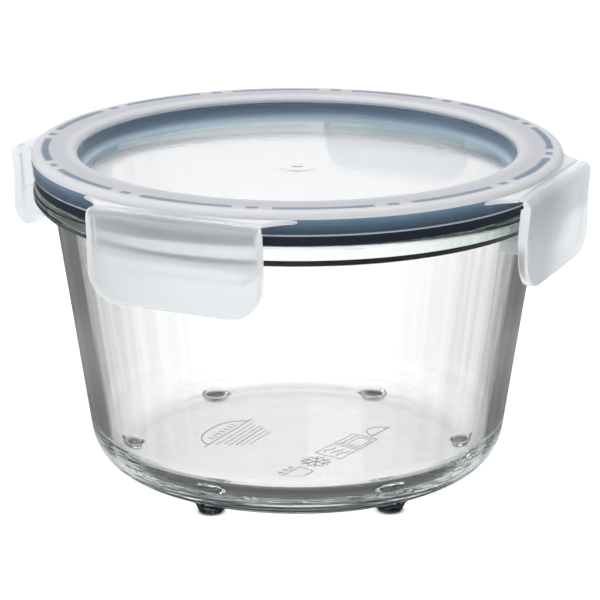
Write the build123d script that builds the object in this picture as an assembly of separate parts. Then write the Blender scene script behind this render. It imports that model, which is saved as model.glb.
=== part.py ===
from build123d import *
import math
import os

# A round glass food container with a clip-on plastic lid, closed.
# Millimetres. Z is up, z = 0 is the table and the bowl's axis is the Z axis.
# The four clasps face +X (right), +Y (back), -X (left) and -Y (front).

# Glass bowl: a straight tapered wall, a wide rim and six moulded feet.
foot_height = 1.5
foot_count = 6
foot_circle_radius = 46.3
foot_first_angle = 25.7
foot_top_radius = 4.3
foot_flat_radius = 2.9
foot_edge_round = 0.5
foot_sunk_depth = 1.0
base_corner_radius = 54.3
wall_lean = 0.1424
base_round = 11.6
glass_wall = 4.25
glass_floor = 5.5
floor_round = 9.0
rim_radius = 69.8
rim_bottom = 73.9
rim_top = 79.3
rim_neck_round = 2.0
rim_chamfer_width = 1.5
rim_chamfer_height = 1.9
rim_lower_round = 0.7
rim_upper_round = 1.6

# Lid moulding: a ring-shaped channel round a recessed flat window.
lid_radius = 70.0
lid_top = 88.0
lid_edge_round = 1.5
skirt_bottom = 81.8
skirt_bottom_radius = 69.7
channel_outer_radius = 68.2
channel_inner_radius = 60.2
channel_top = 85.9
window_radius = 57.6
recess_radius = 58.1
window_top = 81.8
window_thickness = 1.5
window_round = 1.6
window_edge_radius = 59.7
skirt_round = 0.3
channel_round = 0.4
window_edge_round = 0.8
gate_disc_radius = 5.8
gate_disc_height = 0.12
gate_nub_radius = 1.1
gate_nub_height = 0.3

# Tabs: flat ears that widen the lid to the straight hinge lines.
tab_edge = 70.3
tab_half_width = 23.4
tab_corner_inset = 1.0
tab_corner_direction = (1, -0.6)
tab_top = 86.1
tab_bottom = 84.85
tab_blend_length = 6.0
tab_edge_round = 0.3

# Silicone seal: two lips on the rim, a body in the channel and pads under its roof.
seal_inner_radius = 60.3
seal_outer_radius = 68.1
seal_lip_inner_radius = 61.2
seal_lip_outer_radius = 69.2
seal_shoulder = 81.7
seal_top = 85.0
seal_round = 0.35
seal_groove_inner_radius = 63.4
seal_groove_outer_radius = 66.4
seal_groove_height = 1.3
seal_groove_lean = 0.4
pad_inner_radius = 65.5
pad_outer_radius = 67.3
pad_count = 12
pad_sunk_depth = 0.2
long_pad_angle = 21.5
short_pad_angle = 2.6

# Clasps: curved plates with a raised border and a hook rib that catches under the rim.
hinge_height = 85.4
clasp_start = 71.7
clasp_top = 85.65
clasp_shoulder = 73.9
clasp_shoulder_drop = 0.8
clasp_shoulder_round = 2.2
clasp_waist = 73.15
clasp_waist_height = 76.0
clasp_waist_round = 16.0
clasp_foot = 73.5
clasp_bottom = 62.0
clasp_half_width = 23.4
clasp_corner_round = 8.5
clasp_top_round = 0.6
clasp_cut_reach = 8.0
plate_thickness = 1.4
plate_root = 0.9
plate_shoulder_drop = 1.4
plate_corner_round = 0.8
border_width = 1.5
border_depth = 2.7
border_root = 1.2
border_shoulder_drop = 2.0
hook_inner_radius = 66.7
hook_top = 73.5
hook_bottom = 70.4
hook_half_length = 18.5
hook_round = 0.5
hook_lead_in = 1.0
hook_ring_width = 9.0
hook_cut_reach = 12.0

# Living hinges: thin strips between each tab and its clasp.
web_thickness = 0.45
web_half_width = 22.8

# The way each clasp faces, as an angle about Z from +X.
clasp_angles = {"right": 0, "back": 90, "left": 180, "front": 270}


def turned(corners):
    """Revolve (radius, height, rounding) corners about the Z axis."""
    points = [(radius, height) for radius, height, rounding in corners]
    roundings = [rounding for radius, height, rounding in corners]
    outline = FilletPolyline(*points, radius=roundings, close=True)
    return revolve(Plane.XZ * make_face(outline), Axis.Z)


def arc_block(inner_radius, outer_radius, bottom, top, middle_angle, span_angle):
    """A block bent round the Z axis, centred on middle_angle."""
    section = Pos((inner_radius + outer_radius) / 2, (bottom + top) / 2) * Rectangle(
        outer_radius - inner_radius, top - bottom
    )
    block = revolve(Plane.XZ * section, Axis.Z, revolution_arc=span_angle)
    return Rot(0, 0, middle_angle - span_angle / 2) * block


def outer_wall_radius(height):
    """Radius of the bowl's outside at a height on its straight wall."""
    return base_corner_radius + wall_lean * (height - foot_height)


def foot():
    """One moulded nub on the foot circle, sunk a little into the base."""
    taper = (foot_top_radius - foot_flat_radius) / foot_height
    sunk_radius = foot_top_radius + taper * foot_sunk_depth
    corners = [
        (0, 0, 0),
        (foot_flat_radius, 0, foot_edge_round),
        (sunk_radius, foot_height + foot_sunk_depth, 0),
        (0, foot_height + foot_sunk_depth, 0),
    ]
    return Pos(foot_circle_radius, 0, 0) * turned(corners)


def glass_container():
    inner_top = outer_wall_radius(rim_top) - glass_wall
    inner_floor_height = foot_height + glass_floor
    inner_bottom = outer_wall_radius(inner_floor_height) - glass_wall
    bowl = turned(
        [
            (0, foot_height, 0),
            (base_corner_radius, foot_height, base_round),
            (outer_wall_radius(rim_bottom), rim_bottom, rim_neck_round),
            (rim_radius - rim_chamfer_width, rim_bottom, rim_lower_round),
            (rim_radius, rim_bottom + rim_chamfer_height, rim_lower_round),
            (rim_radius, rim_top, rim_upper_round),
            (inner_top, rim_top, rim_upper_round),
            (inner_bottom, inner_floor_height, floor_round),
            (0, inner_floor_height, 0),
        ]
    )
    for index in range(foot_count):
        bowl += Rot(0, 0, foot_first_angle + index * 360 / foot_count) * foot()
    return bowl


def tab():
    """The ear on the +X side, running from the ring to the straight hinge line."""
    ring_y = tab_half_width + tab_blend_length
    ring_x = math.sqrt(lid_radius**2 - ring_y**2)
    corner_y = tab_half_width - tab_corner_inset
    sweep_side = Spline(
        (ring_x, ring_y),
        (tab_edge, corner_y),
        tangents=[(ring_y, -ring_x), tab_corner_direction],
    )
    edge = Line((tab_edge, corner_y), (tab_edge, -corner_y))
    chord = Line((ring_x, -ring_y), (ring_x, ring_y))
    plan = make_face(sweep_side + edge + mirror(sweep_side, Plane.XZ) + chord)
    ear = Pos(0, 0, tab_bottom) * extrude(plan, tab_top - tab_bottom)
    ear = fillet(ear.edges().filter_by(Axis.Y).group_by(Axis.X)[-1], tab_edge_round)
    middle_of_skirt = (channel_outer_radius + lid_radius) / 2
    return ear - Cylinder(middle_of_skirt, 2 * lid_top)


def lid():
    window_bottom = window_top - window_thickness
    moulding = turned(
        [
            (0, window_top, 0),
            (window_radius, window_top, window_round),
            (recess_radius, lid_top, lid_edge_round),
            (lid_radius, lid_top, lid_edge_round),
            (skirt_bottom_radius, skirt_bottom, skirt_round),
            (channel_outer_radius, skirt_bottom, skirt_round),
            (channel_outer_radius, channel_top, channel_round),
            (channel_inner_radius, channel_top, channel_round),
            (window_edge_radius, window_bottom, window_edge_round),
            (0, window_bottom, 0),
        ]
    )
    for angle in clasp_angles.values():
        moulding += Rot(0, 0, angle) * tab()
    gate_disc = Cylinder(gate_disc_radius, gate_disc_height)
    moulding += Pos(0, 0, window_top + gate_disc_height / 2) * gate_disc
    gate_nub = Cylinder(gate_nub_radius, gate_nub_height)
    moulding += Pos(0, 0, window_top + gate_nub_height / 2) * gate_nub
    return moulding


def seal_ring():
    groove_roof = rim_top + seal_groove_height
    seal = turned(
        [
            (seal_lip_inner_radius, rim_top, seal_round),
            (seal_groove_inner_radius, rim_top, seal_round),
            (seal_groove_inner_radius + seal_groove_lean, groove_roof, seal_round),
            (seal_groove_outer_radius - seal_groove_lean, groove_roof, seal_round),
            (seal_groove_outer_radius, rim_top, seal_round),
            (seal_lip_outer_radius, rim_top, seal_round),
            (seal_lip_outer_radius, seal_shoulder, seal_round),
            (seal_outer_radius, seal_shoulder, 0),
            (seal_outer_radius, seal_top, seal_round),
            (seal_inner_radius, seal_top, seal_round),
            (seal_inner_radius, seal_shoulder, seal_round),
        ]
    )
    for index in range(pad_count):
        middle = index * 360 / pad_count
        half_way_on = middle + 180 / pad_count
        for angle, span in ((middle, long_pad_angle), (half_way_on, short_pad_angle)):
            bottom = seal_top - pad_sunk_depth
            seal += arc_block(pad_inner_radius, pad_outer_radius, bottom, channel_top, angle, span)
    return seal


def clasp_slab(depth, shoulder_drop, root):
    """A slab of the given depth as wide as the clasp, behind its curved front."""
    corners = [
        (clasp_start, clasp_top, 0),
        (clasp_shoulder, clasp_top - clasp_shoulder_drop, clasp_shoulder_round),
        (clasp_waist, clasp_waist_height, clasp_waist_round),
        (clasp_foot, clasp_bottom, 0),
        (clasp_foot - depth, clasp_bottom, 0),
        (clasp_waist - depth, clasp_waist_height, clasp_waist_round),
        (clasp_shoulder - depth, clasp_top - shoulder_drop, plate_corner_round),
        (clasp_start, clasp_top - root, 0),
    ]
    points = [(reach, height) for reach, height, rounding in corners]
    roundings = [rounding for reach, height, rounding in corners]
    outline = FilletPolyline(*points, radius=roundings, close=True)
    return extrude(Plane.XZ * make_face(outline), clasp_half_width, both=True)


def clasp_outline(inset, top):
    """A block whose front view is the clasp's rounded outline, pulled in by inset."""
    half_width = clasp_half_width - inset
    bottom = clasp_bottom + inset
    corners = [(-half_width, top), (-half_width, bottom), (half_width, bottom), (half_width, top)]
    low = clasp_corner_round - inset
    outline = FilletPolyline(*corners, radius=[clasp_top_round, low, low, clasp_top_round], close=True)
    block = extrude(Plane.YZ * make_face(outline), clasp_cut_reach, both=True)
    return Pos(clasp_start, 0, 0) * block


def hook_rib():
    """The rib along the clasp's inside that catches under the glass rim."""
    outer = hook_inner_radius + hook_ring_width
    ring = turned(
        [
            (hook_inner_radius, hook_top, hook_round),
            (outer, hook_top, 0),
            (outer, hook_bottom, 0),
            (hook_inner_radius + hook_lead_in, hook_bottom, hook_round),
            (hook_inner_radius, hook_bottom + hook_lead_in, hook_round),
        ]
    )
    plate_middle = clasp_waist - plate_thickness / 2
    room = Box(hook_cut_reach, 2 * hook_half_length, 2 * (hook_top - hook_bottom))
    middle_height = (hook_top + hook_bottom) / 2
    return ring & (Pos(plate_middle - hook_cut_reach / 2, 0, middle_height) * room)


def clasp():
    """The clasp on the +X side, closed."""
    plate = clasp_slab(plate_thickness, plate_shoulder_drop, plate_root)
    deep_slab = clasp_slab(border_depth, border_shoulder_drop, border_root)
    outline = clasp_outline(0, clasp_top)
    border = outline - clasp_outline(border_width, clasp_top + border_width)
    return (plate & outline) + (deep_slab & border) + hook_rib()


def hinge_web():
    """The thin strip on the +X side that joins the tab to its clasp."""
    length = clasp_start - tab_edge
    return Pos(tab_edge + length / 2, 0, hinge_height) * Box(length, 2 * web_half_width, web_thickness)


nodes = {
    "glass_container": glass_container(),
    "lid": lid(),
    "seal_ring": seal_ring(),
}
for side, angle in clasp_angles.items():
    nodes["clasp_" + side] = Rot(0, 0, angle) * clasp()
    nodes["hinge_web_" + side] = Rot(0, 0, angle) * hinge_web()

os.makedirs("parts", exist_ok=True)
for name, shape in nodes.items():
    export_step(shape, "parts/" + name + ".step")
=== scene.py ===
import math

import bmesh
import bpy
from mathutils import Matrix, Vector


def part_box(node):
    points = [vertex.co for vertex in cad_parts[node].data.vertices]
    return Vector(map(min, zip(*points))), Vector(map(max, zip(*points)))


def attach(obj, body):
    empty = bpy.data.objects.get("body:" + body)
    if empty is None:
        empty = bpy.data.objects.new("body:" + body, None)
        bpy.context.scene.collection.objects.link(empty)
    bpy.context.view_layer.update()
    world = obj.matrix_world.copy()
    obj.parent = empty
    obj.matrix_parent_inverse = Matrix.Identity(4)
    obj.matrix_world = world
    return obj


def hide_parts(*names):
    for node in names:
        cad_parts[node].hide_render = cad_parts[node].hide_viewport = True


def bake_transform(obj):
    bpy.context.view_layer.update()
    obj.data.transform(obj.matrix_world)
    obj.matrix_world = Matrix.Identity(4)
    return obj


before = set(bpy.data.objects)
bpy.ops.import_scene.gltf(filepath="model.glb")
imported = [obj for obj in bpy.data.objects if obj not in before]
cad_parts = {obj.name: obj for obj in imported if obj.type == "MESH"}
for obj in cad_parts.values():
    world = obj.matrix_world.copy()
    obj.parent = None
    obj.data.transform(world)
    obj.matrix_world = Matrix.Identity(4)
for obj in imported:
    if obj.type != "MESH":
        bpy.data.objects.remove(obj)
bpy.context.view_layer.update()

# A clip-lid glass food container in a light studio. Lengths are millimetres until a mesh is
# made, except those of the camera, the lamps, the floor's bands and noise, which are metres. Z is up.
MM = 0.001

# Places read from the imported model.
bowl_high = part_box("glass_container")[1] / MM
lid_low, lid_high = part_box("lid")
lid_low, lid_high = lid_low / MM, lid_high / MM
seal_low, seal_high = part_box("seal_ring")
seal_low, seal_high = seal_low / MM, seal_high / MM
clasp_low, clasp_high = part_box("clasp_right")
clasp_low, clasp_high = clasp_low / MM, clasp_high / MM
web_low, web_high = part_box("hinge_web_right")
web_low, web_high = web_low / MM, web_high / MM

# Bowl
RIM_RADIUS = bowl_high.x
RIM_TOP = bowl_high.z
RIM_BOTTOM = RIM_TOP - 5.4
RIM_CHAMFER_WIDTH = 1.5
RIM_CHAMFER_HEIGHT = 1.9
RIM_UNDER_ROUND = 2.0
RIM_BEVEL_ROUND = 0.7
RIM_EDGE_ROUND = 1.6
FOOT_HEIGHT = 1.5
FOOT_COUNT = 6
FOOT_CIRCLE = 46.3
FOOT_FIRST_ANGLE = math.radians(25.7)
FOOT_TOP_RADIUS = 4.3
FOOT_FLAT_RADIUS = 2.9
BASE_CORNER_RADIUS = 54.3
BASE_ROUND = 11.6
INNER_BASE_ROUND = 9.0
WALL_LEAN = 0.1424
GLASS_WALL = 4.25
GLASS_FLOOR = 5.5

# Lid
LID_TOP = lid_high.z
TAB_EDGE = lid_high.x
LID_RADIUS = TAB_EDGE - 0.3
SKIRT_BOTTOM = LID_TOP - 6.2
SKIRT_LIP = SKIRT_BOTTOM + 0.35
WINDOW_TOP = LID_TOP - 6.2
WINDOW_BOTTOM = lid_low.z
RECESS_WALL_TOP = LID_TOP - 1.2
WINDOW_RADIUS = 57.6
WINDOW_EDGE_ROUND = 1.6
WINDOW_EDGE_RADIUS = 59.7
GATE_DISC_RADIUS = 4.3
GATE_DISC_FOOT = 5.9
GATE_DISC_HEIGHT = 0.05
GATE_NUB_RADIUS = 0.9
GATE_NUB_FOOT = 1.3
GATE_NUB_HEIGHT = 0.2
LID_EDGE_ROUND = 1.5
CHANNEL_TOP = LID_TOP - 2.1
CHANNEL_INNER = 60.2
CHANNEL_OUTER = 68.2
TAB_TOP = LID_TOP - 1.9
TAB_BOTTOM = LID_TOP - 3.15
TAB_HALF_WIDTH = 22.4
TAB_BLEND_END = 29.4
TAB_BLEND_PULL = 3.0
TAB_CORNER_DIRECTION = (-1, 0.6)
# The lid is first turned with an edge this much wider than its ring, then drawn in to the tabs' outline.
TAB_ROOM = 10.0

# Seal
SEAL_INNER = 60.3
SEAL_EDGE_ROUND = 0.35
LIP_GROOVE_DEPTH = 1.3
LIP_HEIGHT = 2.4
PAD_INNER = 65.5
PAD_OUTER = 67.3
PAD_HEIGHT = 0.9
PAD_COUNT = 12
LONG_PAD = math.radians(21.5)
SHORT_PAD = math.radians(2.6)
PAD_END_SOFTNESS = math.radians(0.5)
PAD_BLUR = 0.35
# The seal's lips are pressed this much into the rim, so that no air shows between them.
PRESSED_IN = 0.04

# Clasps
CLASP_TOP = clasp_high.z
CLASP_BOTTOM = clasp_low.z
CLASP_HALF_WIDTH = clasp_high.y
CLASP_START = web_high.x
PLATE_THICKNESS = 1.4
BORDER_DEPTH = 2.7
BORDER_WIDTH = 1.5
CORNER_ROUND = 8.5
HINGE_CORNER_ROUND = 0.8
BORDER_EDGE_ROUND = 0.45
BORDER_INNER_FILLET = 0.35
FLAT_INSET = 2.6
ROOT_DEPTH = 0.9
ROOT_TAPER = 0.75
HOOK_INNER = 66.7
HOOK_TOP = 73.5
HOOK_BOTTOM = 70.4
HOOK_HALF_LENGTH = 18.5
HOOK_ZONE = 6.0
WEB_OVERLAP = 0.12
WEB_WAIST = 0.35
CLASP_TURNS = {"right": 0, "back": 90, "left": 180, "front": 270}

# Base marks
MARK_WIDTH = 0.26
MARK_RELIEF = 0.1
MARK_SUNK = 0.02

# Mesh fineness
LATHE_STEPS = 480
LID_LATHE_STEPS = 720
ARC_STEP = math.radians(7.5)
FOOT_STEP = 0.55
CLASP_ARC_STEPS = 14


def rounded(corners, closed=False):
    """Points along (x, y, rounding) corners, each corner turned as an arc."""
    points = []
    count = len(corners)
    for index, (x, y, rounding) in enumerate(corners):
        here = Vector((x, y))
        if rounding == 0 or (not closed and index in (0, count - 1)):
            points.append(here)
            continue
        before = (Vector(corners[index - 1][:2]) - here).normalized()
        after = (Vector(corners[(index + 1) % count][:2]) - here).normalized()
        half_angle = before.angle(after) / 2
        tangent_length = rounding / math.tan(half_angle)
        start = here + before * tangent_length
        end = here + after * tangent_length
        centre = here + (before + after).normalized() * rounding / math.sin(half_angle)
        turn = math.pi - 2 * half_angle
        steps = max(2, math.ceil(turn / ARC_STEP))
        first = start - centre
        side = 1 if first.cross(end - centre) > 0 else -1
        for step in range(steps + 1):
            angle = side * turn * step / steps
            spun = Matrix.Rotation(angle, 2) @ first
            points.append(centre + spun)
    return points


def supported(points, closed=False, margin=0.2, longest=4.0):
    """The same line with extra points near the ends of its long stretches and along them."""
    result = []
    count = len(points)
    for index in range(count if closed else count - 1):
        start, end = points[index], points[(index + 1) % count]
        result.append(start)
        length = (end - start).length
        if length < 4 * margin:
            continue
        pieces = max(1, math.ceil((length - 2 * margin) / longest))
        for step in range(pieces + 1):
            along = margin + (length - 2 * margin) * step / pieces
            result.append(start.lerp(end, along / length))
    if not closed:
        result.append(points[-1])
    return result


def mesh_object(name, bm):
    """A smooth-shaded object from a bmesh in millimetres, made in metres."""
    bmesh.ops.remove_doubles(bm, verts=bm.verts, dist=0.002)
    bmesh.ops.dissolve_degenerate(bm, edges=bm.edges, dist=0.001)
    bmesh.ops.recalc_face_normals(bm, faces=bm.faces)
    bmesh.ops.scale(bm, vec=(MM, MM, MM), verts=bm.verts)
    mesh = bpy.data.meshes.new(name)
    bm.to_mesh(mesh)
    bm.free()
    mesh.shade_smooth()
    obj = bpy.data.objects.new(name, mesh)
    bpy.context.scene.collection.objects.link(obj)
    return obj


def weight_normals(obj):
    """Large faces keep flat shading beside narrow rounded edges."""
    modifier = obj.modifiers.new("weighted_normals", "WEIGHTED_NORMAL")
    modifier.mode = "FACE_AREA"
    modifier.weight = 60
    return obj


def lathe(profile, closed=False, shape=None, steps=LATHE_STEPS):
    """A bmesh turned about Z from (radius, height) points. shape moves points by angle."""
    bm = bmesh.new()
    columns = []
    for step in range(steps):
        angle = 2 * math.pi * step / steps
        column = []
        for point in profile:
            radius, height = point
            if shape is not None:
                radius, height = shape(radius, height, angle)
            column.append(bm.verts.new((radius * math.cos(angle), radius * math.sin(angle), height)))
        columns.append(column)
    rows = len(profile) if closed else len(profile) - 1
    for step in range(steps):
        here, there = columns[step], columns[(step + 1) % steps]
        for row in range(rows):
            after = (row + 1) % len(profile)
            bm.faces.new((here[row], there[row], there[after], here[after]))
    return bm


def smooth_step(value):
    value = min(1.0, max(0.0, value))
    return value * value * (3 - 2 * value)


# ---------------------------------------------------------------- meshes


def outer_wall(height):
    return BASE_CORNER_RADIUS + WALL_LEAN * (height - FOOT_HEIGHT)


def from_foot(x, y):
    """Distance to the middle of the nearest foot."""
    distances = []
    for index in range(FOOT_COUNT):
        angle = FOOT_FIRST_ANGLE + index * 2 * math.pi / FOOT_COUNT
        distances.append(math.hypot(x - FOOT_CIRCLE * math.cos(angle), y - FOOT_CIRCLE * math.sin(angle)))
    return min(distances)


def foot_drop(x, y):
    """How far the underside reaches down at a point, for the six moulded feet."""
    return smooth_step((FOOT_TOP_RADIUS - from_foot(x, y)) / (FOOT_TOP_RADIUS - FOOT_FLAT_RADIUS))


def has_painted_shade(place):
    """Whether a place on the bowl lies on the rim's bevel or on the outward side of a foot, where near-black
    shade is painted into the glass.
    """
    radius = math.hypot(place.x, place.y)
    if radius > RIM_RADIUS - RIM_CHAMFER_WIDTH:
        return RIM_BOTTOM + 0.05 < place.z < RIM_BOTTOM + RIM_CHAMFER_HEIGHT
    if place.z >= 2 * FOOT_HEIGHT or radius <= FOOT_CIRCLE + 0.6:
        return False
    return FOOT_FLAT_RADIUS - 0.2 < from_foot(place.x, place.y) < FOOT_TOP_RADIUS


def make_bowl():
    inner_top = outer_wall(RIM_TOP) - GLASS_WALL
    floor_height = FOOT_HEIGHT + GLASS_FLOOR
    inner_bottom = outer_wall(floor_height) - GLASS_WALL
    corners = [
        (0, FOOT_HEIGHT, 0),
        (BASE_CORNER_RADIUS, FOOT_HEIGHT, BASE_ROUND),
        (outer_wall(RIM_BOTTOM), RIM_BOTTOM, RIM_UNDER_ROUND),
        (RIM_RADIUS - RIM_CHAMFER_WIDTH, RIM_BOTTOM, RIM_BEVEL_ROUND),
        (RIM_RADIUS, RIM_BOTTOM + RIM_CHAMFER_HEIGHT, RIM_BEVEL_ROUND),
        (RIM_RADIUS, RIM_TOP, RIM_EDGE_ROUND),
        (inner_top, RIM_TOP, RIM_EDGE_ROUND),
        (inner_bottom, floor_height, INNER_BASE_ROUND),
        (0, floor_height, 0),
    ]
    profile = supported(rounded(corners))
    underside = floor_height - 1
    zone_low = FOOT_CIRCLE - FOOT_TOP_RADIUS - 1
    zone_high = FOOT_CIRCLE + FOOT_TOP_RADIUS + 1
    fine = []
    for point, following in zip(profile, profile[1:]):
        fine.append(point)
        below = max(point.y, following.y) < underside
        if below and following.x > zone_low and point.x < zone_high:
            pieces = max(1, round((following - point).length / FOOT_STEP))
            for step in range(1, pieces):
                fine.append(point.lerp(following, step / pieces))
    fine.append(profile[-1])

    def with_feet(radius, height, angle):
        if height < underside and zone_low < radius < zone_high:
            drop = foot_drop(radius * math.cos(angle), radius * math.sin(angle))
            height = height * (1 - drop)
        return radius, height

    bowl = mesh_object("glass_bowl", lathe(fine, shape=with_feet))
    # Faces on the rim's bevel and on the feet's outward sides take the second material, which is painted
    # shade.
    for face in bowl.data.polygons:
        if has_painted_shade(face.center / MM):
            face.material_index = 1
    return weight_normals(bowl)


def tab_reach():
    """Radius of the lid's edge with its tabs, as a function of angle."""
    ring_x = math.sqrt(LID_RADIUS**2 - TAB_BLEND_END**2)
    start = Vector((ring_x, TAB_BLEND_END))
    end = Vector((TAB_EDGE, TAB_HALF_WIDTH))
    start_pull = start + Vector((start.y, -start.x)).normalized() * TAB_BLEND_PULL
    end_pull = end + Vector(TAB_CORNER_DIRECTION).normalized() * TAB_BLEND_PULL
    curve = []
    count = 48
    for step in range(count + 1):
        t = step / count
        u = 1 - t
        point = u**3 * start + 3 * u * u * t * start_pull + 3 * u * t * t * end_pull + t**3 * end
        curve.append((math.atan2(point.y, point.x), point.length))
    curve.reverse()

    def reach(angle):
        quarter = math.pi / 2
        off = abs((angle + quarter / 2) % quarter - quarter / 2)
        if off <= curve[0][0]:
            return TAB_EDGE / math.cos(off)
        if off >= curve[-1][0]:
            return LID_RADIUS
        for (a0, r0), (a1, r1) in zip(curve, curve[1:]):
            if a0 <= off <= a1:
                return r0 + (r1 - r0) * (off - a0) / max(a1 - a0, 1e-9)
        return LID_RADIUS

    return reach


def make_lid():
    tab_end = LID_RADIUS + TAB_ROOM
    corners = [
        (0, WINDOW_TOP + GATE_NUB_HEIGHT, 0),
        (GATE_NUB_RADIUS, WINDOW_TOP + GATE_NUB_HEIGHT, 0.15),
        (GATE_NUB_FOOT, WINDOW_TOP + GATE_DISC_HEIGHT, 0.1),
        (GATE_DISC_RADIUS, WINDOW_TOP + GATE_DISC_HEIGHT, 0.6),
        (GATE_DISC_FOOT, WINDOW_TOP, 0.3),
        (WINDOW_RADIUS, WINDOW_TOP, WINDOW_EDGE_ROUND),
        (WINDOW_RADIUS + 0.5, LID_TOP, LID_EDGE_ROUND),
        (LID_RADIUS, LID_TOP, LID_EDGE_ROUND),
        (LID_RADIUS, TAB_TOP, 0),
        (tab_end, TAB_TOP, 0.4),
        (tab_end, TAB_BOTTOM, 0.4),
        (LID_RADIUS - 0.1, TAB_BOTTOM, 0),
        (LID_RADIUS - 0.3, SKIRT_BOTTOM, 0.3),
        (CHANNEL_OUTER, SKIRT_BOTTOM, 0.3),
        (CHANNEL_OUTER, CHANNEL_TOP, 0.4),
        (CHANNEL_INNER, CHANNEL_TOP, 0.4),
        (WINDOW_EDGE_RADIUS, WINDOW_BOTTOM, 0.8),
        (0, WINDOW_BOTTOM, 0),
    ]
    reach = tab_reach()

    def with_tabs(radius, height, angle):
        if radius > LID_RADIUS:
            radius = max(LID_RADIUS, reach(angle) - (tab_end - radius))
        return radius, height

    profile = supported(rounded(corners))
    lid = mesh_object("lid_moulding", lathe(profile, shape=with_tabs, steps=LID_LATHE_STEPS))
    for face in lid.data.polygons:
        radius = math.hypot(face.center.x, face.center.y) / MM
        height = face.center.z / MM
        if radius < WINDOW_RADIUS - WINDOW_EDGE_ROUND:
            face.material_index = 1
        elif CHANNEL_OUTER - 0.1 < radius < LID_RADIUS + 0.02 and SKIRT_LIP < height < TAB_TOP:
            face.material_index = 2
        elif radius < CHANNEL_INNER + 0.1 and height < RECESS_WALL_TOP:
            face.material_index = 3
    return weight_normals(lid)


def in_pad(angle):
    """How far an angle lies inside one of the seal's raised pads, from 0 to 1."""
    pitch = 2 * math.pi / PAD_COUNT
    from_long = abs((angle + pitch / 2) % pitch - pitch / 2)
    from_short = pitch / 2 - from_long
    inside = max(LONG_PAD / 2 - from_long, SHORT_PAD / 2 - from_short)
    return smooth_step(0.5 + inside / PAD_END_SOFTNESS)


def make_seal():
    """The ring with two lips below and raised pads on top."""
    bottom, top = seal_low.z - PRESSED_IN, seal_high.z
    roof = top - PAD_HEIGHT
    lip = seal_high.x
    shoulder = bottom + LIP_HEIGHT
    groove = bottom + LIP_GROOVE_DEPTH
    corners = [
        (SEAL_INNER + 0.9, bottom, SEAL_EDGE_ROUND),
        (SEAL_INNER + 3.1, bottom, SEAL_EDGE_ROUND),
        (SEAL_INNER + 3.5, groove, SEAL_EDGE_ROUND),
        (SEAL_INNER + 5.7, groove, SEAL_EDGE_ROUND),
        (SEAL_INNER + 6.1, bottom, SEAL_EDGE_ROUND),
        (lip, bottom, SEAL_EDGE_ROUND),
        (lip, shoulder, SEAL_EDGE_ROUND),
        (CHANNEL_OUTER - 0.1, shoulder, 0),
        (CHANNEL_OUTER - 0.1, roof, SEAL_EDGE_ROUND),
        (PAD_OUTER + 0.05, roof, 0),
        (PAD_OUTER, top, 0.25),
        (PAD_INNER, top, 0.25),
        (PAD_INNER - 0.05, roof, 0),
        (SEAL_INNER, roof, SEAL_EDGE_ROUND),
        (SEAL_INNER, shoulder, SEAL_EDGE_ROUND),
    ]

    def with_pads(radius, height, angle):
        if height > roof:
            height = roof + (height - roof) * in_pad(angle)
        return radius, height

    profile = supported(rounded(corners, closed=True), closed=True)
    ring = lathe(profile, closed=True, shape=with_pads, steps=LID_LATHE_STEPS)
    return weight_normals(mesh_object("silicone_seal", ring))


def outline_loop(length, inset):
    """(across, along) points round the clasp laid flat, hinge edge first, pulled in by inset."""
    half = CLASP_HALF_WIDTH - inset
    low = max(CORNER_ROUND - inset, 0.3)
    high = max(HINGE_CORNER_ROUND - inset, 0.1)
    far = length - inset
    # Each corner's place, rounding, outward sides, and the quarter turn where its arc starts.
    corners = [
        (-half, inset, high, -1, -1, 2),
        (half, inset, high, 1, -1, 3),
        (half, far, low, 1, 1, 0),
        (-half, far, low, -1, 1, 1),
    ]
    points = []
    for x, y, rounding, side_x, side_y, quarter in corners:
        centre = Vector((x - side_x * rounding, y - side_y * rounding))
        for step in range(CLASP_ARC_STEPS + 1):
            angle = 0.5 * math.pi * (quarter + step / CLASP_ARC_STEPS)
            points.append(centre + Vector((math.cos(angle), math.sin(angle))) * rounding)
    return points


def clasp_front_line():
    """The clasp's outer face seen from its side, from the hinge down, evenly followed."""
    corners = [
        (CLASP_START, CLASP_TOP, 0),
        (CLASP_START + 2.2, CLASP_TOP - 0.8, 2.2),
        (CLASP_START + 1.45, CLASP_TOP - 9.65, 16.0),
        (CLASP_START + 1.8, CLASP_BOTTOM, 0),
    ]
    return supported(rounded(corners), margin=0.1, longest=1.0)


def clasp_sections():
    """(inset, depth) from the middle of the outer face, over the border, to the inner face."""
    edge = BORDER_EDGE_ROUND
    fillet = BORDER_INNER_FILLET
    sections = [(FLAT_INSET, 0.0), (0.95, 0.0)]
    for step in range(6):
        angle = 0.5 * math.pi * step / 5
        sections.append((edge * (1 - math.sin(angle)), edge * (1 - math.cos(angle))))
    for step in range(6):
        angle = 0.5 * math.pi * step / 5
        sections.append((edge * (1 - math.cos(angle)), BORDER_DEPTH - edge * (1 - math.sin(angle))))
    for step in range(4):
        angle = 0.5 * math.pi * step / 3
        inset = BORDER_WIDTH - fillet * (1 - math.sin(angle))
        sections.append((inset, BORDER_DEPTH - fillet * (1 - math.cos(angle))))
    for step in range(4):
        angle = 0.5 * math.pi * step / 3
        inset = BORDER_WIDTH + fillet * (1 - math.cos(angle))
        sections.append((inset, PLATE_THICKNESS + fillet * (1 - math.sin(angle))))
    sections.append((FLAT_INSET, PLATE_THICKNESS))
    return sections


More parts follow.
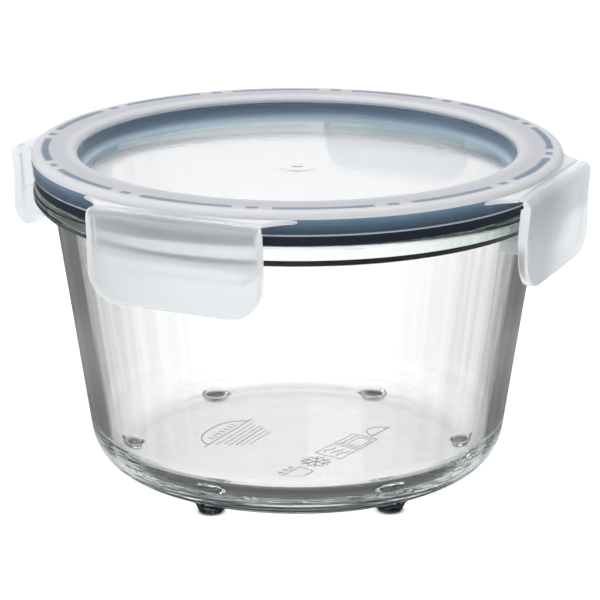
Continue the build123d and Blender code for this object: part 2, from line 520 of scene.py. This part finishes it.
def make_clasp_mesh():
    """The clasp on the +X side: a bent plate with a raised border. It is made flat, then bent."""
    line = clasp_front_line()
    travelled = [0.0]
    for start, end in zip(line, line[1:]):
        travelled.append(travelled[-1] + (end - start).length)
    length = travelled[-1]

    def on_line(along):
        along = min(max(along, 0.0), length)
        index = max(i for i, t in enumerate(travelled[:-1]) if t <= along)
        start, end = line[index], line[index + 1]
        part = (along - travelled[index]) / (travelled[index + 1] - travelled[index])
        before = line[max(index - 1, 0)]
        after = line[min(index + 2, len(line) - 1)]
        tangent = (end - before).normalized().lerp((after - start).normalized(), part).normalized()
        return start.lerp(end, part), Vector((-tangent.y, tangent.x))

    bm = bmesh.new()
    loops = []
    for inset, depth in clasp_sections():
        loop = [bm.verts.new((depth, point.x, point.y)) for point in outline_loop(length, inset)]
        loops.append(loop)
    for inner, outer in zip(loops, loops[1:]):
        for index in range(len(inner)):
            after = (index + 1) % len(inner)
            bm.faces.new((inner[index], inner[after], outer[after], outer[index]))
    bm.faces.new(loops[0])
    bm.faces.new(loops[-1])
    cut = 0.35
    while cut < length:
        geometry = list(bm.verts) + list(bm.edges) + list(bm.faces)
        bmesh.ops.bisect_plane(bm, geom=geometry, plane_co=(0, 0, cut), plane_no=(0, 0, 1), dist=0.0005)
        cut += 0.35 if cut < 5 else 0.9
    for vert in bm.verts:
        depth, across, along = vert.co
        depth = min(depth, ROOT_DEPTH + max(0.0, along - 0.2) * ROOT_TAPER)
        place, normal = on_line(along)
        place = place - normal * depth
        vert.co = (place.x, across, place.y)
    return bm


def make_hook_mesh():
    """The rib inside the clasp, with an inner edge that follows the bowl."""
    outer = CLASP_START + 0.8
    bm = bmesh.new()
    rings = []
    count = 40
    for step in range(count + 1):
        across = HOOK_HALF_LENGTH * (2 * step / count - 1)
        inner = math.sqrt(HOOK_INNER**2 - across**2)
        corners = [
            (outer, HOOK_TOP, 0),
            (inner, HOOK_TOP, 0.5),
            (inner, HOOK_BOTTOM + 1.0, 0.4),
            (inner + 1.0, HOOK_BOTTOM, 0.4),
            (outer, HOOK_BOTTOM, 0),
        ]
        rings.append([bm.verts.new((point.x, across, point.y)) for point in rounded(corners, closed=True)])
    for here, there in zip(rings, rings[1:]):
        for index in range(len(here)):
            after = (index + 1) % len(here)
            bm.faces.new((here[index], here[after], there[after], there[index]))
    bm.faces.new(rings[0])
    bm.faces.new(rings[-1])
    return bm


def union(main, other):
    """main joined with other as one closed mesh."""
    modifier = main.modifiers.new("union", "BOOLEAN")
    modifier.operation = "UNION"
    modifier.solver = "EXACT"
    modifier.object = other
    depsgraph = bpy.context.evaluated_depsgraph_get()
    mesh = bpy.data.meshes.new_from_object(main.evaluated_get(depsgraph))
    main.modifiers.clear()
    main.data = mesh
    bpy.data.objects.remove(other)
    return main


def clasp_material_index(face):
    """0 for a clasp's walls, 1 for its narrow edges and 2 for its hook rib."""
    x, height = face.center.x / MM, face.center.z / MM
    if x < HOOK_INNER + HOOK_ZONE and height < HOOK_TOP + 0.1:
        return 2
    upright_edge = abs(face.normal.y) > 0.45
    lower_edge = face.normal.z < -0.45 and height < CLASP_BOTTOM + CORNER_ROUND - 0.5
    return 1 if upright_edge or lower_edge else 0


def make_clasps():
    """All four clasps by side: the right one, and turned copies of it."""
    plate = mesh_object("clasp_flap_right", make_clasp_mesh())
    hook = mesh_object("hook_rib", make_hook_mesh())
    first = union(plate, hook)
    for face in first.data.polygons:
        face.material_index = clasp_material_index(face)
    clasps = {"right": first}
    for side, turn in CLASP_TURNS.items():
        if side != "right":
            mesh = first.data.copy()
            mesh.transform(Matrix.Rotation(math.radians(turn), 4, "Z"))
            clasps[side] = bpy.data.objects.new("clasp_flap_" + side, mesh)
            bpy.context.scene.collection.objects.link(clasps[side])
    for clasp in clasps.values():
        clasp.data.shade_smooth()
        clasp.data.set_sharp_from_angle(angle=math.radians(50))
        weight_normals(clasp).modifiers[-1].keep_sharp = True
    return clasps


def make_web(side, turn):
    """The living hinge strip of one clasp, thinner in the middle and fine enough to bend."""
    bm = bmesh.new()
    start, end = web_low.x - WEB_OVERLAP, web_high.x + WEB_OVERLAP
    middle = (web_low.z + web_high.z) / 2
    half_thickness = (web_high.z - web_low.z) / 2
    columns, rows = 24, 40
    grids = []
    for face_side in (1, -1):
        grid = []
        for i in range(columns + 1):
            part = i / columns
            x = start + (end - start) * part
            waist = 1 - WEB_WAIST * math.sin(math.pi * part) ** 2
            height = middle + face_side * half_thickness * waist
            row = [bm.verts.new((x, web_high.y * (2 * j / rows - 1), height)) for j in range(rows + 1)]
            grid.append(row)
        grids.append(grid)
    top, bottom = grids
    for i in range(columns):
        for j in range(rows):
            bm.faces.new((top[i][j], top[i + 1][j], top[i + 1][j + 1], top[i][j + 1]))
            bm.faces.new((bottom[i][j], bottom[i][j + 1], bottom[i + 1][j + 1], bottom[i + 1][j]))
        bm.faces.new((top[i][0], bottom[i][0], bottom[i + 1][0], top[i + 1][0]))
        bm.faces.new((top[i][rows], top[i + 1][rows], bottom[i + 1][rows], bottom[i][rows]))
    for j in range(rows):
        bm.faces.new((top[0][j], top[0][j + 1], bottom[0][j + 1], bottom[0][j]))
        bm.faces.new((top[columns][j], bottom[columns][j], bottom[columns][j + 1], top[columns][j + 1]))
    bmesh.ops.rotate(bm, verts=bm.verts, matrix=Matrix.Rotation(math.radians(turn), 3, "Z"))
    return mesh_object("living_hinge_" + side, bm)


# ---------------------------------------------------------------- base marks


def stroke(bm, points, width, low, high):
    """A raised line of even width through (x, y) points, from height low to high."""
    points = [Vector(point) for point in points]
    lefts, rights = [], []
    for index, point in enumerate(points):
        before = points[max(index - 1, 0)]
        after = points[min(index + 1, len(points) - 1)]
        direction = (after - before).normalized()
        normal = Vector((-direction.y, direction.x)) * width / 2
        lefts.append(point + normal)
        rights.append(point - normal)
    rings = []
    for left, right in zip(lefts, rights):
        ring = [(left, low), (right, low), (right, high), (left, high)]
        rings.append([bm.verts.new((place.x, place.y, height)) for place, height in ring])
    for here, there in zip(rings, rings[1:]):
        for index in range(4):
            after = (index + 1) % 4
            bm.faces.new((here[index], here[after], there[after], there[index]))
    bm.faces.new(rings[0])
    bm.faces.new(reversed(rings[-1]))


def box_line(centre, width, height):
    """A closed rectangle's line that starts and ends in the middle of its lower side."""
    x, y = centre
    w, h = width / 2, height / 2
    return [(x, y - h), (x + w, y - h), (x + w, y + h), (x - w, y + h), (x - w, y - h), (x, y - h)]


def wave_line(x, y, length, swing):
    parts = [index / 16 for index in range(17)]
    return [(x + length * (part - 0.5), y + swing * math.sin(2 * math.pi * part)) for part in parts]


def arch_line(x, y, half_width, height, count):
    """A half ellipse over (x, y), from right to left."""
    angles = [math.pi * index / count for index in range(count + 1)]
    return [(x + half_width * math.cos(angle), y + height * math.sin(angle)) for angle in angles]


def frost_symbol(middle):
    """Three crossed lines with branches near their ends."""
    lines = []
    for index in range(3):
        angle = math.radians(60 * index + 30)
        tip = Vector((math.cos(angle), math.sin(angle))) * 4.2
        lines.append([(middle - tip.x, -tip.y), (middle + tip.x, tip.y)])
        for end in (1, -1):
            for lean in (0.45, -0.45):
                branch = Vector((math.cos(angle + lean), math.sin(angle + lean))) * 3.9 * end
                knee = tip * 0.5 * end
                lines.append([(middle + knee.x, knee.y), (middle + branch.x, branch.y)])
    return lines


def care_symbols():
    """Lines of five plain care symbols in a row: dishes, frost, waves, an oven and a cover."""
    lines = [[(-23.6, -3.6), (-24.4, 1.2), (-15.6, 1.2), (-16.4, -3.6), (-23.6, -3.6)]]
    for column in (-22.4, -20, -17.6):
        lines.append([(column - 0.7, 2.2), (column, 3.8), (column + 0.7, 2.2)])
    lines += frost_symbol(-10)
    lines.append(box_line((0, 0), 8.8, 8.2))
    for row in (-2.2, 0, 2.2):
        lines.append(wave_line(0, row, 5.6, 0.6))
    lines.append(box_line((10, 0), 8.8, 8.2))
    lines.append([(5.6, 2.4), (14.4, 2.4)])
    lines.append(box_line((10, -0.9), 6.0, 4.0))
    lines.append(arch_line(20, -1.5, 3.8, 4.4, 12))
    lines.append([(15.2, -1.5), (24.8, -1.5)])
    return lines


def plain_marks():
    """Lines of a plain cartouche over broken bars, with no lettering."""
    lines = [arch_line(0, 0, 10.5, 6.0, 20), [(-13, 0), (13, 0)], [(-7.5, -6.6), (8, -6.6)]]
    for i in range(7):
        lines.append([(-6 + 2 * i, 1.1), (-6 + 2 * i, 2.9)])
    for row, half in ((-1.9, 10), (-3.5, 8), (-5.1, 8.5), (-8.2, 7), (-9.8, 5)):
        place = -half
        while place < half:
            length = 0.7 + 0.5 * math.sin(7.1 * place + row) ** 2
            lines.append([(place, row), (place + length, row)])
            place += length + 0.55
    return lines


def make_base_marks():
    """Fine raised moulding marks on the bowl's underside."""
    bm = bmesh.new()
    high = FOOT_HEIGHT + MARK_SUNK
    low = FOOT_HEIGHT - MARK_RELIEF
    groups = ((care_symbols(), (13.0, -3.0), 79.0, 0.98), (plain_marks(), (-20.0, -2.0), 86.0, 1.0))
    for lines, place, turn, size in groups:
        spin = Matrix.Rotation(math.radians(turn), 2)
        for line in lines:
            points = [spin @ (Vector(point) * size) + Vector(place) for point in line]
            stroke(bm, points, MARK_WIDTH, low, high)
    return mesh_object("base_marks", bm)


# ---------------------------------------------------------------- materials

# Refractive indices. The clasps' own is lower than the plastic's, because their thin walls should blur
# what lies behind them without shifting it.
GLASS_BENDING = 1.51
PLASTIC_BENDING = 1.49
CLASP_BENDING = 1.15
HOOK_BENDING = 1.03
# (colour, clarity) at the lower and the upper end of the seal channel's outer and inner walls.
SKIRT_LOOK = (((0.16, 0.3, 0.45, 1), 0.85), ((0.34, 0.52, 0.7, 1), 0.5))
RECESS_WALL_LOOK = (((0.6, 0.78, 0.92, 1), 0.5), ((0.18, 0.36, 0.56, 1), 0.8))


class Graph:
    """A small helper for building one material's nodes."""

    def __init__(self, name):
        self.material = bpy.data.materials.new(name)
        self.material.use_nodes = True
        self.tree = self.material.node_tree
        self.tree.nodes.clear()
        self.output = self.add("ShaderNodeOutputMaterial")

    def add(self, kind, **settings):
        node = self.tree.nodes.new(kind)
        for key, value in settings.items():
            setattr(node, key, value)
        return node

    def link(self, source, target):
        self.tree.links.new(source, target)

    def put(self, socket, value):
        """Link a socket, or set it to a number or colour."""
        if isinstance(value, bpy.types.NodeSocket):
            self.link(value, socket)
        else:
            socket.default_value = value

    def math(self, operation, first, second=0.0):
        node = self.add("ShaderNodeMath", operation=operation)
        self.put(node.inputs[0], first)
        self.put(node.inputs[1], second)
        return node.outputs[0]

    def place(self):
        return self.add("ShaderNodeTexCoord").outputs["Object"]

    def coordinates(self):
        """The place on the object as three values, in metres."""
        split = self.add("ShaderNodeSeparateXYZ")
        self.link(self.place(), split.inputs[0])
        return tuple(split.outputs)

    def length(self, x, y):
        return self.math("SQRT", self.math("ADD", self.math("MULTIPLY", x, x), self.math("MULTIPLY", y, y)))

    def noise(self, scale, detail=3.0, rough=0.5, upright=1.0):
        """Noise on the object. upright below 1 stretches it along Z."""
        node = self.add("ShaderNodeTexNoise")
        stretch = self.add("ShaderNodeMapping")
        stretch.inputs["Scale"].default_value = (1, 1, upright)
        self.link(self.place(), stretch.inputs["Vector"])
        self.link(stretch.outputs[0], node.inputs["Vector"])
        node.inputs["Scale"].default_value = scale
        node.inputs["Detail"].default_value = detail
        node.inputs["Roughness"].default_value = rough
        return node.outputs[0]

    def streaks(self, scale, detail=2.0):
        """Noise that changes round the Z axis only: streaks that run down a turned wall."""
        flat = self.add("ShaderNodeMapping")
        flat.inputs["Scale"].default_value = (1, 1, 0)
        self.link(self.place(), flat.inputs["Vector"])
        direction = self.add("ShaderNodeVectorMath", operation="NORMALIZE")
        self.link(flat.outputs[0], direction.inputs[0])
        node = self.add("ShaderNodeTexNoise")
        self.link(direction.outputs[0], node.inputs["Vector"])
        node.inputs["Scale"].default_value = scale
        node.inputs["Detail"].default_value = detail
        return node.outputs[0]

    def spread(self, value, low, high):
        """Map 0..1 to low..high."""
        node = self.add("ShaderNodeMapRange")
        self.put(node.inputs["Value"], value)
        node.inputs["To Min"].default_value = low
        node.inputs["To Max"].default_value = high
        return node.outputs[0]

    def ramp(self, value, low, high, first, last):
        """Map low..high to first..last."""
        node = self.add("ShaderNodeMapRange")
        self.put(node.inputs["Value"], value)
        for socket, number in zip(("From Min", "From Max", "To Min", "To Max"), (low, high, first, last)):
            node.inputs[socket].default_value = number
        return node.outputs[0]

    def between(self, amount, first, last):
        """first where amount is 0, last where it is 1."""
        node = self.add("ShaderNodeMix", data_type="FLOAT")
        for socket, value in zip((node.inputs[0], node.inputs[2], node.inputs[3]), (amount, first, last)):
            self.put(socket, value)
        return node.outputs[0]

    def bump(self, height, strength, distance):
        node = self.add("ShaderNodeBump")
        self.put(node.inputs["Height"], height)
        node.inputs["Strength"].default_value = strength
        node.inputs["Distance"].default_value = distance
        return node.outputs[0]

    def colours(self, value, first, second):
        node = self.add("ShaderNodeMix", data_type="RGBA")
        self.put(node.inputs["Factor"], value)
        self.put(node.inputs["A"], first)
        self.put(node.inputs["B"], second)
        return node.outputs["Result"]

    def principled(self, colour, roughness, normal=None, **values):
        node = self.add("ShaderNodeBsdfPrincipled")
        self.put(node.inputs["Base Color"], colour)
        self.put(node.inputs["Roughness"], roughness)
        if normal is not None:
            self.link(normal, node.inputs["Normal"])
        for key, value in values.items():
            self.put(node.inputs[key.replace("_", " ")], value)
        return node.outputs[0]

    def mix(self, amount, first, second):
        node = self.add("ShaderNodeMixShader")
        self.put(node.inputs[0], amount)
        self.link(first, node.inputs[1])
        self.link(second, node.inputs[2])
        return node.outputs[0]

    def finish(self, surface):
        self.link(surface, self.output.inputs["Surface"])
        return self.material


def glass_material():
    """Pressed soda-lime glass: faintly green in depth, with ripples. Where the wall is seen edge-on its
    colour is dimmed, in upright streaks, as painted shade for the dark room seen through it.
    """
    graph = Graph("pressed_glass")
    ripple = graph.noise(90.0, 2.0, upright=0.15)
    normal = graph.bump(ripple, 0.12, 0.0006)
    roughness = graph.spread(graph.noise(900.0, 2.0), 0.0, 0.02)
    edge = graph.add("ShaderNodeLayerWeight")
    edge.inputs["Blend"].default_value = 0.45
    facing = edge.outputs["Facing"]
    height = graph.coordinates()[2]
    # Painted shade: the glass is greyed where it is seen edge-on, evenly near the base and in upright
    # streaks higher up the wall.
    streak = graph.ramp(graph.streaks(10.0), 0.38, 0.62, 0.0, 1.0)
    streaked_edge_shade = graph.colours(streak, (0.42, 0.42, 0.43, 1), (0.9, 0.9, 0.9, 1))
    in_wall = graph.ramp(height, 8.0 * MM, 20.0 * MM, 0.0, 1.0)
    painted_edge_shade = graph.colours(in_wall, (0.8, 0.8, 0.8, 1), streaked_edge_shade)
    clear = graph.colours(graph.ramp(facing, 0.1, 0.8, 0.0, 1.0), (1, 1, 1, 1), painted_edge_shade)
    in_rim = graph.ramp(height, (RIM_BOTTOM - 0.5) * MM, (RIM_BOTTOM + 0.5) * MM, 0.0, 1.0)
    colour = graph.colours(graph.math("MULTIPLY", in_rim, facing), clear, (0.22, 0.62, 0.5, 1))
    surface = graph.principled(colour, roughness, normal, IOR=GLASS_BENDING, Transmission_Weight=1.0)
    absorption = graph.add("ShaderNodeVolumeAbsorption")
    absorption.inputs["Color"].default_value = (0.82, 0.93, 0.92, 1)
    absorption.inputs["Density"].default_value = 7.0
    graph.link(absorption.outputs[0], graph.output.inputs["Volume"])
    return graph.finish(surface)


def painted_shade_edge_material():
    """Painted shade on the steep glass under the rim and outside the feet: nearly black from outside and
    clear from within. It stands in for the dark room seen through the glass there.
    """
    graph = Graph("painted_shade_edges")
    grain = graph.noise(700.0, 3.0)
    colour = graph.colours(grain, (0.0002, 0.0003, 0.0005, 1), (0.001, 0.0013, 0.0018, 1))
    from_within = graph.add("ShaderNodeNewGeometry").outputs["Backfacing"]
    colour = graph.colours(from_within, colour, (0.95, 0.97, 0.97, 1))
    return graph.finish(graph.principled(colour, 0.02, IOR=GLASS_BENDING, Transmission_Weight=1.0))


def plastic_shader(graph, colour, clarity, haze, bending=PLASTIC_BENDING, tint=(0.97, 0.98, 1, 1)):
    """Translucent plastic: part see-through and blurred by its haze, part milky and glowing."""
    grain = graph.noise(420.0, 4.0)
    cloud = graph.noise(28.0, 2.0)
    normal = graph.bump(grain, 0.05, 0.0002)
    roughness = graph.spread(cloud, haze * 0.85, haze * 1.15)
    clear = graph.principled(tint, roughness, normal, IOR=bending, Transmission_Weight=1.0)
    body = graph.principled(colour, 0.3, normal, IOR=PLASTIC_BENDING)
    glow = graph.add("ShaderNodeBsdfTranslucent")
    graph.put(glow.inputs["Color"], colour)
    milky = graph.mix(0.5, body, glow.outputs[0])
    return graph.mix(clarity, milky, clear)


def pad_pattern(graph, x, y, radius):
    """1 where the seal's pads press against the lid's roof, as seen from above."""
    turn = graph.math("DIVIDE", graph.math("ARCTAN2", y, x), 2 * math.pi / PAD_COUNT)
    from_long = graph.math("ABSOLUTE", graph.math("SUBTRACT", turn, graph.math("ROUND", turn)))
    in_long = graph.math("LESS_THAN", from_long, LONG_PAD / 2 * PAD_COUNT / (2 * math.pi))
    in_short = graph.math("GREATER_THAN", from_long, 0.5 - SHORT_PAD / 2 * PAD_COUNT / (2 * math.pi))
    middle = (PAD_INNER + PAD_OUTER) / 2 * MM
    half_width = (PAD_OUTER - PAD_INNER) / 2 * MM
    off_middle = graph.math("ABSOLUTE", graph.math("SUBTRACT", radius, middle))
    ragged = graph.spread(graph.noise(160.0, 3.0), -PAD_BLUR * MM, PAD_BLUR * MM)
    ragged_place = graph.math("ADD", off_middle, ragged)
    in_band = graph.ramp(ragged_place, half_width - PAD_BLUR * MM, half_width + PAD_BLUR * MM, 1.0, 0.0)
    return graph.math("MULTIPLY", in_band, graph.math("MAXIMUM", in_long, in_short))


def ring_material():
    """The lid's frosted ring: lavender over the seal, and bluish where the seal's pads press on it."""
    graph = Graph("frosted_ring")
    x, y, _ = graph.coordinates()
    radius = graph.length(x, y)
    pads = pad_pattern(graph, x, y, radius)
    inner_edge = graph.ramp(radius, CHANNEL_INNER * MM, (CHANNEL_INNER + 1.2) * MM, 0.0, 1.0)
    outer_edge = graph.ramp(radius, (PAD_INNER - 1.5) * MM, (CHANNEL_OUTER + 0.3) * MM, 1.0, 0.0)
    over_seal = graph.math("MULTIPLY", inner_edge, outer_edge)
    cloudy = graph.math("MULTIPLY", over_seal, graph.spread(graph.noise(45.0, 3.0), 0.6, 1.3))
    plain = graph.colours(over_seal, (0.95, 0.95, 0.96, 1), (0.86, 0.86, 0.9, 1))
    colour = graph.colours(pads, plain, (0.22, 0.33, 0.48, 1))
    clarity = graph.math("ADD", graph.spread(cloudy, 0.06, 0.2), graph.spread(pads, 0.0, 0.22))
    return graph.finish(plastic_shader(graph, colour, clarity, 0.3))


def wall_material(name, lower, upper):
    """An upright wall of the seal's channel. lower and upper are its (colour, clarity) at each end."""
    graph = Graph(name)
    height = graph.ramp(graph.coordinates()[2], SKIRT_BOTTOM * MM, TAB_TOP * MM, 0.0, 1.0)
    colour = graph.colours(height, lower[0], upper[0])
    clarity = graph.spread(height, lower[1], upper[1])
    return graph.finish(plastic_shader(graph, colour, clarity, 0.12))


def window_material():
    """The lid's polished flat window."""
    graph = Graph("polished_window")
    return graph.finish(plastic_shader(graph, (0.9, 0.92, 0.94, 1), 0.94, 0.05))


def clasp_material(name, clarity, haze, bending=CLASP_BENDING):
    """The clasps' frosted plastic."""
    graph = Graph(name)
    milk = (0.98, 0.985, 0.99, 1)
    tint = (0.95, 0.98, 1, 1)
    return graph.finish(plastic_shader(graph, milk, clarity, haze, bending, tint))


def seal_material():
    """Dark blue silicone, satin with a fine dusty grain."""
    graph = Graph("navy_silicone")
    dust = graph.noise(350.0, 5.0, 0.6)
    colour = graph.colours(dust, (0.004, 0.009, 0.02, 1), (0.008, 0.017, 0.038, 1))
    roughness = graph.spread(dust, 0.36, 0.5)
    normal = graph.bump(dust, 0.15, 0.0001)
    return graph.finish(graph.principled(colour, roughness, normal, IOR=1.43))


def mark_material():
    """Fine frosted relief lines in the glass."""
    graph = Graph("frosted_marks")
    grain = graph.noise(1500.0, 2.0)
    colour = graph.colours(grain, (0.3, 0.32, 0.33, 1), (0.5, 0.52, 0.53, 1))
    return graph.finish(graph.principled(colour, 0.6, IOR=1.5, Transmission_Weight=0.5))


# ---------------------------------------------------------------- studio

# The camera stands this far round from the front. The lamps' places are given as if it stood in
# front, and are turned by the same angle.
CAMERA_TURN = math.radians(24.45)
CAMERA_TILT = math.radians(16.94)
CAMERA_BACK = 0.679
CAMERA_HEIGHT = 0.2516
CAMERA_ASIDE = 0.0007
CAMERA_LENS = 158.35
SENSOR_WIDTH = 36.0
LAMP_AIM = (0, 0, 0.08)
# Each lamp's place, width and height, and its power in watts.
LAMPS = {
    "overhead_softbox": ((0, 0.25, 1.3), 1.2, 1.0, 8.0),
    "front_softbox": ((-0.6, -1.25, 0.9), 0.9, 0.7, 6.5),
    "left_softbox": ((-1.1, -0.1, 0.5), 0.7, 0.8, 2.5),
}
FLOOR_RADIUS = 6000
FLOOR_GAP = 0.05
CONTACT_SHADE = 0.05
CONTACT_SHADE_INNER = 2.6
CONTACT_SHADE_OUTER = 4.2
FLOOR_GLOW = 0.95
FLOOR_GLOW_REFLECTED_TWICE = 0.3
# How bright the floor is in a first reflection, by distance in metres from the bowl's axis.
FLOOR_BANDS = (
    (0.052, 0.08),
    (0.056, 0.9),
    (0.061, 0.7),
    (0.066, 0.15),
    (0.08, 0.12),
    (0.115, 0.2),
    (0.13, 0.2),
    (0.16, 0.1),
    (0.8, 0.05),
)
# How bright the room is from the horizon, at 0, to straight overhead, at 1: as light on the object and
# as seen through it, and as seen reflected in it.
ROOM_LEVELS = ((0.0, 0.9), (0.12, 0.9), (0.17, 0.02), (0.5, 0.02), (0.6, 0.8), (1.0, 1.1))
REFLECTED_ROOM_LEVELS = ((0.0, 0.8), (0.3, 0.8), (0.5, 0.9), (0.6, 1.4), (0.7, 1.4), (1.0, 1.1))


def add_camera():
    data = bpy.data.cameras.new("camera")
    data.lens = CAMERA_LENS
    data.sensor_width = SENSOR_WIDTH
    camera = bpy.data.objects.new("camera", data)
    spin = Matrix.Rotation(CAMERA_TURN, 4, "Z")
    camera.location = spin @ Vector((CAMERA_ASIDE, -CAMERA_BACK, CAMERA_HEIGHT))
    camera.rotation_euler = (math.pi / 2 - CAMERA_TILT, 0, CAMERA_TURN)
    bpy.context.scene.collection.objects.link(camera)
    bpy.context.scene.camera = camera


def level_ramp(tree, position, levels):
    """A colour ramp through pairs of position and grey level."""
    ramp = tree.nodes.new("ShaderNodeValToRGB")
    elements = ramp.color_ramp.elements
    for element, (place, level) in zip(elements, (levels[0], levels[-1])):
        element.position, element.color = place, (level, level, level, 1)
    for place, level in levels[1:-1]:
        elements.new(place).color = (level, level, level, 1)
    tree.links.new(position, ramp.inputs[0])
    return ramp.outputs[0]


def add_floor():
    """A wide light table just under the feet: white where it is seen straight, dimmer in reflections."""
    bm = bmesh.new()
    bmesh.ops.create_circle(bm, cap_ends=True, radius=FLOOR_RADIUS, segments=96)
    bmesh.ops.translate(bm, verts=bm.verts, vec=(0, 0, -FLOOR_GAP))
    floor = mesh_object("light_table", bm)
    graph = Graph("light_table")
    reflections = graph.add("ShaderNodeLightPath").outputs["Glossy Depth"]
    reflected = graph.math("GREATER_THAN", reflections, 0.5)
    reflected_twice = graph.math("GREATER_THAN", reflections, 1.5)
    grain = graph.spread(graph.noise(3.0, 2.0), 0.2, 0.22)
    tone = graph.math("MULTIPLY", grain, graph.spread(reflected, 1.0, 0.25))
    colour = graph.add("ShaderNodeCombineColor")
    for socket in tuple(colour.inputs)[:3]:
        graph.link(tone, socket)
    x, y, _ = graph.coordinates()
    away = graph.length(x, y)
    bands = level_ramp(graph.tree, away, FLOOR_BANDS)
    reflected_glow = graph.between(reflected_twice, bands, FLOOR_GLOW_REFLECTED_TWICE)
    glow = graph.between(reflected, FLOOR_GLOW, reflected_glow)
    strength = graph.math("MULTIPLY", glow, contact_shade(graph, x, y, away))
    surface = graph.principled(
        colour.outputs[0],
        0.9,
        Specular_IOR_Level=0.0,
        Emission_Color=(1, 1, 1, 1),
        Emission_Strength=strength,
    )
    floor.data.materials.append(graph.finish(surface))


def contact_shade(graph, x, y, away):
    """Darkens the floor close under each foot, where its own glow would hide the foot's shadow."""
    pitch = 2 * math.pi / FOOT_COUNT
    turn = graph.math("DIVIDE", graph.math("SUBTRACT", graph.math("ARCTAN2", y, x), FOOT_FIRST_ANGLE), pitch)
    aside = graph.math("MULTIPLY", graph.math("SUBTRACT", turn, graph.math("ROUND", turn)), pitch)
    outward = graph.math("MULTIPLY", away, graph.math("COSINE", aside))
    along = graph.math("SUBTRACT", outward, FOOT_CIRCLE * MM)
    across = graph.math("MULTIPLY", away, graph.math("SINE", aside))
    from_middle = graph.length(along, across)
    return graph.ramp(from_middle, CONTACT_SHADE_INNER * MM, CONTACT_SHADE_OUTER * MM, CONTACT_SHADE, 1.0)


def add_world():
    """The room: white where it is seen straight, and banded by height for the light on the object."""
    world = bpy.data.worlds.new("studio")
    bpy.context.scene.world = world
    world.use_nodes = True
    tree = world.node_tree
    tree.nodes.clear()
    output = tree.nodes.new("ShaderNodeOutputWorld")
    room = tree.nodes.new("ShaderNodeBackground")
    reflected_room = tree.nodes.new("ShaderNodeBackground")
    backdrop = tree.nodes.new("ShaderNodeBackground")
    backdrop.inputs["Color"].default_value = (1, 1, 1, 1)
    path = tree.nodes.new("ShaderNodeLightPath")
    choose = tree.nodes.new("ShaderNodeMixShader")
    choose_reflected = tree.nodes.new("ShaderNodeMixShader")
    coords = tree.nodes.new("ShaderNodeTexCoord")
    split = tree.nodes.new("ShaderNodeSeparateXYZ")
    tree.links.new(coords.outputs["Generated"], split.inputs[0])
    tree.links.new(level_ramp(tree, split.outputs[2], ROOM_LEVELS), room.inputs[0])
    tree.links.new(level_ramp(tree, split.outputs[2], REFLECTED_ROOM_LEVELS), reflected_room.inputs[0])
    tree.links.new(path.outputs["Glossy Depth"], choose_reflected.inputs[0])
    tree.links.new(room.outputs[0], choose_reflected.inputs[1])
    tree.links.new(reflected_room.outputs[0], choose_reflected.inputs[2])
    tree.links.new(path.outputs["Is Camera Ray"], choose.inputs[0])
    tree.links.new(choose_reflected.outputs[0], choose.inputs[1])
    tree.links.new(backdrop.outputs[0], choose.inputs[2])
    tree.links.new(choose.outputs[0], output.inputs[0])


def add_lamp(name, place, width, height, power):
    """A soft rectangular lamp that faces the object."""
    data = bpy.data.lights.new(name, "AREA")
    data.shape = "RECTANGLE"
    data.size = width
    data.size_y = height
    data.energy = power
    lamp = bpy.data.objects.new(name, data)
    spin = Matrix.Rotation(CAMERA_TURN, 4, "Z")
    lamp.location = spin @ Vector(place)
    lamp.rotation_mode = "QUATERNION"
    lamp.rotation_quaternion = (spin @ Vector(LAMP_AIM) - lamp.location).to_track_quat("-Z", "Y")
    bpy.context.scene.collection.objects.link(lamp)


def set_up_studio():
    add_camera()
    add_floor()
    add_world()
    for name, (place, width, height, power) in LAMPS.items():
        add_lamp(name, place, width, height, power)
    scene = bpy.context.scene
    scene.view_settings.view_transform = "Standard"
    # Light is thrown back and forth many times inside thick glass before it leaves.
    scene.cycles.max_bounces = 32
    scene.cycles.transmission_bounces = 32
    scene.cycles.glossy_bounces = 24
    scene.cycles.transparent_max_bounces = 16


# ---------------------------------------------------------------- build

set_up_studio()

bowl = make_bowl()
bowl.data.materials.append(glass_material())
# The second material is near-black painted shade for the rim's bevel and the feet's sides.
bowl.data.materials.append(painted_shade_edge_material())
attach(bowl, "bowl")
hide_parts("glass_container")

marks = make_base_marks()
marks.data.materials.append(mark_material())
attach(marks, "bowl")

lid = make_lid()
lid.data.materials.append(ring_material())
lid.data.materials.append(window_material())
lid.data.materials.append(wall_material("skirt", *SKIRT_LOOK))
lid.data.materials.append(wall_material("recess_wall", *RECESS_WALL_LOOK))
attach(lid, "lid")
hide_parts("lid")

seal = make_seal()
seal.data.materials.append(seal_material())
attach(seal, "lid")
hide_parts("seal_ring")

clasp_plastic = clasp_material("frosted_clasp", 0.68, 0.55)
clasp_edge_plastic = clasp_material("polished_clasp_edges", 0.1, 0.3)
hook_plastic = clasp_material("clear_hook_ribs", 0.75, 0.55, HOOK_BENDING)
for side, clasp in make_clasps().items():
    clasp.data.materials.append(clasp_plastic)
    clasp.data.materials.append(clasp_edge_plastic)
    clasp.data.materials.append(hook_plastic)
    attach(clasp, "clasp_" + side)
    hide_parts("clasp_" + side)

for side, turn in CLASP_TURNS.items():
    web = make_web(side, turn)
    web.data.materials.append(clasp_plastic)
    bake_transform(web)
    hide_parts("hinge_web_" + side)
